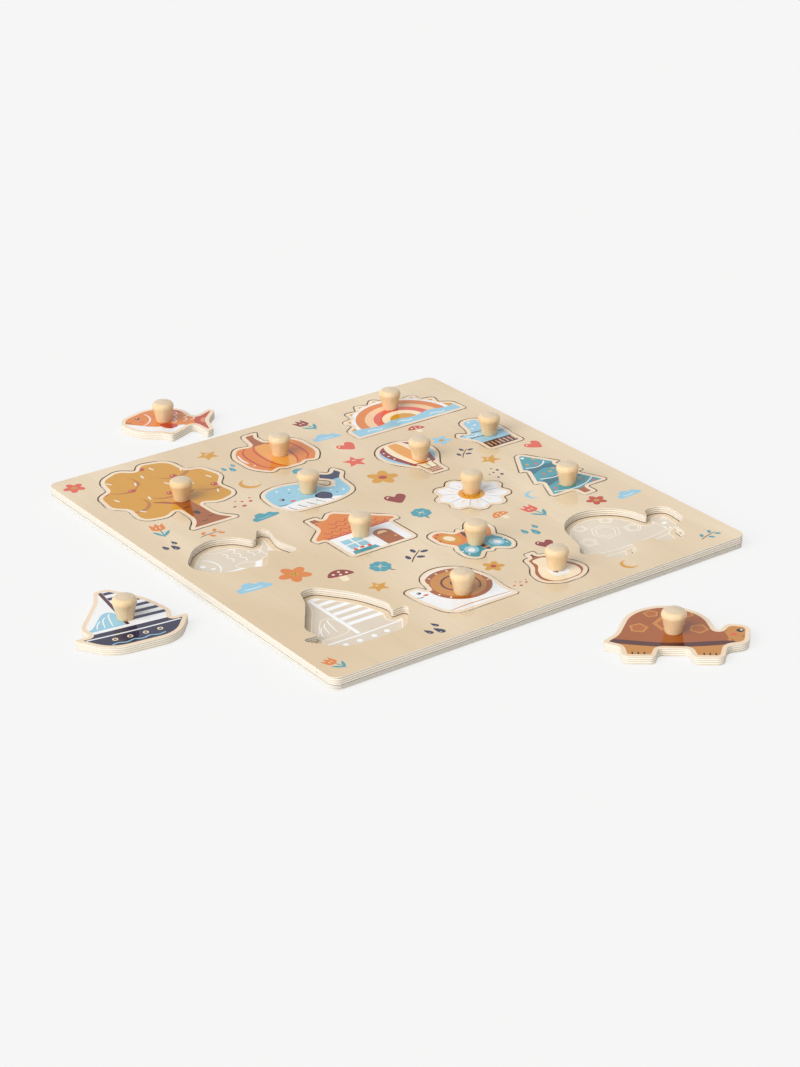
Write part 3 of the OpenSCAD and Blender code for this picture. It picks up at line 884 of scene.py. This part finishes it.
# Each surface's maker and what it takes after the name
SURFACES = {
    "birch_face": (birch, (236, 219, 194), (224, 203, 174)),
    "birch_piece": (birch, (246, 228, 206), (239, 218, 193)),
    "birch_back": (birch, (226, 205, 176), (216, 192, 160), 0, 0.3, linear),
    "recess_floor": (birch, (228, 211, 186), (222, 203, 176), 0.25, 0.2, linear),
    "recess_print": (birch, (228, 217, 201), (222, 209, 192), 0.25, 0.2, linear),
    "recess_line": (ink, (248, 240, 227), 0.25, 0.2, linear),
    "recess_white": (ink, (247, 248, 250), 0.25, 0.2, linear),
    # Foot shares are a dark joint line with painted shade; brow shares are painted shade at the top of
    # walls along tight cuts
    "frame_edge": (plies, JOINT_Z, SHEET_T, EDGE, GLUE, 0.05),
    "recess_edge": (plies, JOINT_Z, SHEET_T, EDGE, GLUE, 0.09),
    "kerf_edge": (plies, JOINT_Z, SHEET_T, EDGE, GLUE, 0.09, 0.09),
    "piece_edge": (plies, JOINT_Z, SHEET_T, FREE_EDGE, PALE_GLUE, 0, 0.06),
    "loose_edge": (plies, 0, SHEET_T, FREE_EDGE, PALE_GLUE),
    "backing_edge": (plies, 0, JOINT_Z, BACKING, (146, 132, 110), 0, 0, (0.98, 1, 1.02)),
    "turned_wood": (turned_wood,),
}
MATERIALS = {name: maker(name, *values) for name, (maker, *values) in SURFACES.items()}
MATERIALS.update({name: ink("ink_" + name, rgb) for name, rgb in INKS.items()})


# The small prints between the pictures, each in a square of its own

def flower(p, petals, centre, seeds="cocoa"):
    for degrees in range(90, 450, 72):
        p.oval(petals, *p.polar(0, 0, 27, degrees), 25, 17, degrees)
    p.oval(centre, 0, 0, 14)
    p.dots(seeds, [(5, 2), (-4, 5), (-1, -6)], 2.5)


def star(p, ink, glint="cream"):
    p.shape(ink, [p.polar(0, 0, 23.5 if k % 2 else 50, 36 * k + 90) for k in range(10)])
    p.line(glint, [(-8, 10), (0, 14), (8, 10)], 5)


def heart(p, ink, glint="cream"):
    p.curve(ink, mirrored([(0, -45), (30, -16), (47, 12), (40, 36), (20, 42), (0, 22)]))
    p.line(glint, [(-33, 18), (-30, 27), (-20, 30)], 6)


def clover(p, leaves, veins, stem):
    p.line(stem, [(0, 0), (5, -28), (16, -50)], 6)
    for degrees in range(45, 405, 90):
        for x, y in turned([(20, 9), (20, -9)], degrees):
            p.oval(leaves, x, y, 14.5)
        p.line(veins, turned([(5, 0), (22, 0)], degrees), 3.5)


def drops(p, ink, glint="cream"):
    drop = mirrored([(0, 30), (13, 0), (10, -15), (0, -21)])
    for x, y, s in ((-26, 5, 0.8), (5, -20, 1), (30, 18, 0.7)):
        p.curve(ink, [(x + dx * s, y + dy * s) for dx, dy in drop])
        p.line(glint, [(x - 6 * s, y - 2), (x - 5 * s, y - 10 * s)], 3)


def cloud(p, ink, shade):
    p.curve(ink, [(-50, -16), (-48, 2), (-32, 8), (-22, 24), (0, 26), (12, 12), (30, 16), (40, 2), (50, -8),
        (44, -20), (0, -22), (-40, -22)])
    p.line(shade, [(-30, -8), (-5, -10), (22, -8)], 3.5)


def moon(p, ink, craters="cream"):
    p.shape(ink, oval(0, 0, 46, 46, 0, 20, 60, 300) + oval(16, 0, 40, 40, 0, 16, 285, 75))
    p.dots(craters, [(16, 10), (30, -8), (14, -20)], 3.5)


def tulip(p, ink, folds="cream", leaves="teal"):
    p.line(leaves, [(0, 5), (2, -20), (0, -50)], 5, 0.2)
    p.curve(leaves, [(0, -45), (-16, -30), (-26, -5), (-10, -18)])
    p.curve(leaves, [(0, -45), (18, -32), (28, -10), (12, -20)])
    p.curve(ink, mirrored([(0, -2), (20, 6), (22, 30), (20, 46), (9, 32), (0, 50)]))
    for s in (-1, 1):
        p.line(folds, [(7 * s, 12), (6 * s, 24)], 3.5)


def mushroom(p, cap, rest="cream"):
    p.curve(rest, mirrored([(11, 5), (13, -30), (10, -42)]))
    p.curve(cap, mirrored([(12, 42), (36, 26), (46, 2), (20, -4)]))
    p.dots(rest, [(-22, 16), (2, 28), (24, 14), (0, 8)], 5.5)


def berries(p, ink):
    for x, y, r in ((-40, 10, 7), (-15, -12, 9), (8, 16, 6), (28, -6, 8), (46, 14, 5), (-5, 36, 4.5)):
        p.oval(ink, x, y, r, r * 0.8)


def twig(p, leaves, stem="cocoa"):
    p.line(stem, [(-45, -12), (-10, 0), (42, 10)], 4.5)
    for x, y, degrees in ((-22, 14, 60), (2, -16, -50), (24, 24, 60), (40, -6, -30)):
        p.oval(leaves, x, y, 13, 7.5, degrees)


def small_print(draw, x, y, size, turn, *inks):
    """A small motif about a point of the board, size millimetres across."""
    p = Picture(size, size)
    draw(p, *inks)
    return [(key, [(x + q[0], y + q[1]) for q in turned(loop, turn)], None) for key, loop in p.layers]


# Each as its motif, place, size, turn and inks
SMALL_PRINTS = [
    (flower, -139, 146, 14, 10, "coral", "mustard"),
    (star, -45, 138, 16, 8, "mustard"),
    (drops, -45, 112, 14, 0, "teal"),
    (tulip, 33, 141, 20, 14, "wine"),
    (cloud, 33, 117, 20, -6, "sky", "white"),
    (heart, 35, 95, 14, 12, "coral"),
    (clover, -12, 81, 13, 20, "teal", "sky", "slate"),
    (moon, -47, 84, 16, 30, "mustard"),
    (mushroom, 88, 91, 13, -8, "rust"),
    (flower, 89.5, 66, 13, 25, "sky", "mustard"),
    (twig, 89, 40, 17, 30, "slate"),
    (star, 25, 72, 17, -14, "coral"),
    (flower, 25, 41, 20, 40, "mustard", "rust"),
    (berries, -66, 61, 18, 20, "rust"),
    (cloud, -66, 38, 19, 6, "teal", "sky"),
    (tulip, -128, 59, 20, -12, "orange"),
    (drops, -134, 35, 15, 10, "slate"),
    (twig, -106, 36, 17, -10, "orange"),
    (heart, 13, 9, 15, -10, "wine"),
    (clover, 13, -17, 18, -20, "teal", "sky", "slate"),
    (star, 96, 22, 15, 20, "mustard"),
    (heart, 133, 23, 13, 15, "coral"),
    (berries, 87, 2, 16, 70, "slate"),
    (tulip, 70, -57, 20, 10, "coral"),
    (moon, 84, -38, 12, -20, "sky"),
    (mushroom, 50, -50, 13, 10, "orange"),
    (flower, 110, -68, 13, 0, "rust", "mustard"),
    (cloud, 132, -72, 18, 4, "sky", "white"),
    (cloud, -124, -40, 22, -4, "sky", "white"),
    (flower, -96, -41, 20, 15, "orange", "mustard"),
    (mushroom, -75, -59, 18, -10, "wine"),
    (clover, -50, -63, 19, 10, "teal", "sky", "slate"),
    (twig, -25, -64, 20, 25, "slate"),
    (star, -66, -84, 14, 0, "mustard"),
    (drops, 51, -78, 17, 0, "teal"),
    (heart, 46, -98, 12, -12, "wine"),
    (flower, 3, -103, 13, 30, "mustard", "rust"),
    (berries, 2, -131, 12, 10, "rust"),
    (tulip, -139, -146, 16, 20, "orange"),
    (drops, -72, -147, 16, 20, "slate"),
    (twig, 131, -148, 16, 0, "teal"),
    (moon, 68, -149, 12, 10, "mustard"),
]


# The board

frame_outline, *recesses = flat_loops("frame_board")
piece_loops = {name: flat_loops(name + "_piece") for name in PICTURES}
seats = [middle(piece_loops[name][0]) for name in PICTURES if name not in LOOSE]
# The gap round a piece in its recess, in millimetres
KERF = 0.8
# The bare rims round the print of a piece and of a recess floor
RIM, FLOOR_RIM = 2.7, 3.5
# On a floor: the line round the print, the lines round its shapes, and the narrowest shape that has a core
FLOOR_LINE, FLOOR_FINE_LINE, FLOOR_SOLID = 0.6, 0.55, 4.2


def upright(name):
    """The outline of a picture piece as it lies in the board, about its own place."""
    return turned(piece_loops[name][0], -LOOSE.get(name, 0))


def home_of(name):
    """The recess that a picture piece fits."""
    w, h = extent(upright(name))
    return min(recesses, key=lambda loop: math.dist(extent(loop), (w + 2 * KERF, h + 2 * KERF)))


def picture_on(name, outline, rim):
    """The print area within an upright outline and a rim, and the picture's inked shapes."""
    cx, cy = middle(outline)
    p = Picture(*extent(outline))
    DRAWINGS[name](p)
    return drawn_in(outline, rim), [(key, [(cx + x, cy + y) for x, y in loop]) for key, loop in p.layers]


def frame_wall(loop):
    """The outer edge has a thin dark joint line with painted shade, the recesses a dark foot with painted
    shade at the floor, and tight cuts a top arris of painted shade too."""
    if abs(area(loop)) > abs(area(frame_outline)) / 2:
        return "frame_edge"
    return "kerf_edge" if min(math.dist(middle(loop), seat) for seat in seats) < KERF else "recess_edge"


def floor_picture(name, first_mask):
    """The floor of a recess repeats its picture as white lines. Gives its two masks and its layers."""
    area_mask, shapes = picture_on(name, home_of(name), FLOOR_RIM)
    inside = first_mask + 1
    layers = [("recess_line", area_mask, first_mask), ("recess_print", area_mask, inside)]
    # Backgrounds reach past the recess, and have no line here
    whole = extent(home_of(name))[0] * 1.1
    for key, loop in shapes:
        w, h = extent(loop)
        if w > whole:
            continue
        solid = key in ("white", "cream", "mist") or min(w, h) < FLOOR_SOLID
        layers.append(("recess_white" if solid else "recess_line", loop, inside))
        core = [] if solid else drawn_in(loop, FLOOR_FINE_LINE)
        if len(core) > 3:
            layers.append(("recess_print", core, inside))
    return [area_mask, drawn_in(area_mask, FLOOR_LINE, 0.6)], layers


prints = [layer for row in SMALL_PRINTS for layer in small_print(*row)]
board = sheet("frame_sheet", frame_outline, [(loop, "through") for loop in recesses], JOINT_Z, TOP_Z, [],
              prints, "birch_face", frame_wall, "birch_back")
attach(board, "board")
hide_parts("frame_board")

floor_masks, floor_layers = [], []
for name in PICTURES:
    masks, layers = floor_picture(name, len(floor_masks))
    floor_masks += masks
    floor_layers += layers
backing = sheet("backing_sheet", flat_loops("backing_board")[0], [], 0, JOINT_Z, floor_masks, floor_layers,
                "recess_floor", "backing_edge", "birch_back")
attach(backing, "board")
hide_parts("backing_board")


# The picture pieces and their knobs

KNOB_H, HEAD_R, FOOT_R, SHOULDER_R, DOME_H, SPIGOT_R, SPIGOT_L = 14.5, 7.3, 5.0, 3.2, 0.6, 3.0, 3.4
# How far in and how high the points of the foot's rounding lie
FOOT_EASE = ((0.35, 0), (0.08, 0.12), (0, 0.4))
# The part of the flank's flare that grows upwards
FLARE = 0.4
HOLE_DEPTH = 3.6
# The shoulder's arc starts this many degrees below its middle, where the flank meets it
BRIM = 20
FLANK_STEPS, SHOULDER_STEPS, DOME_STEPS, AROUND = 13, 17, 7, 72


def knob_profile():
    """Radii and heights from the spigot's end to the top, with 0 at the knob's foot."""
    dome_r = HEAD_R - SHOULDER_R
    shoulder = [(dome_r + x, KNOB_H - DOME_H - SHOULDER_R + y) for x, y in
                oval(0, 0, SHOULDER_R, SHOULDER_R, 0, SHOULDER_STEPS, -BRIM, 90)]
    brim_r, brim_z = shoulder[0]
    points = [(0, -SPIGOT_L), (SPIGOT_R, -SPIGOT_L), (SPIGOT_R, 0)]
    points += [(FOOT_R - inwards, height) for inwards, height in FOOT_EASE]
    for t in (k / FLANK_STEPS for k in range(1, FLANK_STEPS)):
        share = (1 - FLARE) * t + FLARE * t * t
        points.append((FOOT_R + (brim_r - FOOT_R) * share, brim_z * t))
    points += shoulder[:-1]
    for s in (1 - k / DOME_STEPS for k in range(DOME_STEPS)):
        points.append((dome_r * s, KNOB_H - DOME_H * s * s))
    return points + [(0, KNOB_H)]


def lathe(name, x, y, z, profile):
    """A solid turned about an upright axis, from a profile that starts and ends on it."""
    verts, rings = [], []
    for r, h in profile:
        steps = AROUND if r else 1
        rings.append([len(verts) + k % steps for k in range(AROUND)])
        verts += [(x + r * c, y + r * s, z + h) for c, s in (unit(360 * k / AROUND) for k in range(steps))]
    faces = [tuple(dict.fromkeys((a, b, d, c))) for low, up in zip(rings, rings[1:])
             for (a, b), (c, d) in zip(sides(low), sides(up))]
    return make(name, verts, faces, ["turned_wood"] * len(faces))


for name in PICTURES:
    turn = LOOSE.get(name, 0)
    outline, hole = piece_loops[name]
    low = round(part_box(name + "_piece")[0].z / MM, 3)
    high = low + SHEET_T
    mask, shapes = picture_on(name, upright(name), RIM)
    layers = [(key, turned(loop, turn), 0) for key, loop in shapes]
    piece = sheet(name + "_picture", outline, [(hole, "blind")], low, high, [turned(mask, turn)], layers,
                  "birch_piece", "loose_edge" if turn else "piece_edge", "birch_back", high - HOLE_DEPTH)
    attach(piece, name)
    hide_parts(name + "_piece")
    near, far = (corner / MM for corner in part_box(name + "_knob"))
    knob = lathe(name + "_turned_knob", (near.x + far.x) / 2, (near.y + far.y) / 2, high, knob_profile())
    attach(knob, name)
    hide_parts(name + "_knob")


# Floor, light and camera

# In metres, just below the part
FLOOR_Z = -0.0004
# The photograph's plain background, 246 of 255, as light
PALE = (0.9216, 0.9216, 0.9216, 1)


def pale_floor():
    """To the camera mostly an even glow, so that it runs into the background and still takes shadows."""
    n = Nodes(bpy.data.materials.new("pale_floor"))
    n.tree.nodes.clear()
    lit = n.add("BsdfDiffuse", {"Color": (0.9, 0.9, 0.9, 1)}).outputs[0]
    glow = n.add("Emission", {"Color": PALE, "Strength": 1}).outputs[0]
    seen = n.add("MixShader", {"Fac": 0.8, 1: lit, 2: glow}).outputs[0]
    n.add("OutputMaterial", {"Surface": n.by_ray(["Is Camera Ray"], seen, lit)})
    return n.owner


floor_mesh = bpy.data.meshes.new("floor")
floor_corners = [(x, y, FLOOR_Z) for x, y in ((-6, -6), (6, -6), (6, 6), (-6, 6))]
floor_mesh.from_pydata(floor_corners, [], [(0, 1, 2, 3)])
floor_mesh.materials.append(pale_floor())
floor = placed("floor", floor_mesh)

world = Nodes(bpy.data.worlds.new("studio"))
bpy.context.scene.world = world.owner
room = world.first("BACKGROUND")
room.inputs["Color"].default_value = (0.985, 0.995, 1.0, 1)
room.inputs["Strength"].default_value = 0.46
seen = world.add("Background", {"Color": PALE}).outputs[0]
rays = ["Is Camera Ray", "Is Glossy Ray", "Is Transmission Ray"]
world.put(world.first("OUTPUT_WORLD").inputs["Surface"], world.by_ray(rays, seen, room.outputs[0]))

# The wide key shapes the forms, and only the small lamp and the pale room show in the lacquer
for name, energy, angle, toward, in_gloss in (("soft_key", 2.71, 50, (0.82, 0.1, -0.56), False),
                                              ("glint", 0.35, 24, (0.45, 0.25, -0.86), True)):
    sun = bpy.data.lights.new(name, "SUN")
    sun.energy = energy
    sun.angle = math.radians(angle)
    sun.color = (1.0, 0.985, 0.96)
    lamp = placed(name, sun)
    lamp.visible_glossy = in_gloss
    lamp.rotation_euler = Vector(toward).to_track_quat("-Z", "Y").to_euler()

# The camera stands where the photograph's stood, worked out from the board's corners in it
view = bpy.data.cameras.new("camera")
view.lens = 85.85
view.sensor_width = 36
camera = placed("camera", view)
forward = Vector((0.519695, 0.73899, -0.428732))
right = Vector((0.81353, -0.581307, -0.015844))
up = Vector((0.260934, 0.340553, 0.903293))
camera.matrix_world = Matrix((right, up, -forward)).transposed().to_4x4()
camera.location = (-0.81297, -1.16848, 0.6666)
bpy.context.scene.camera = camera
bpy.context.scene.view_settings.view_transform = "Standard"
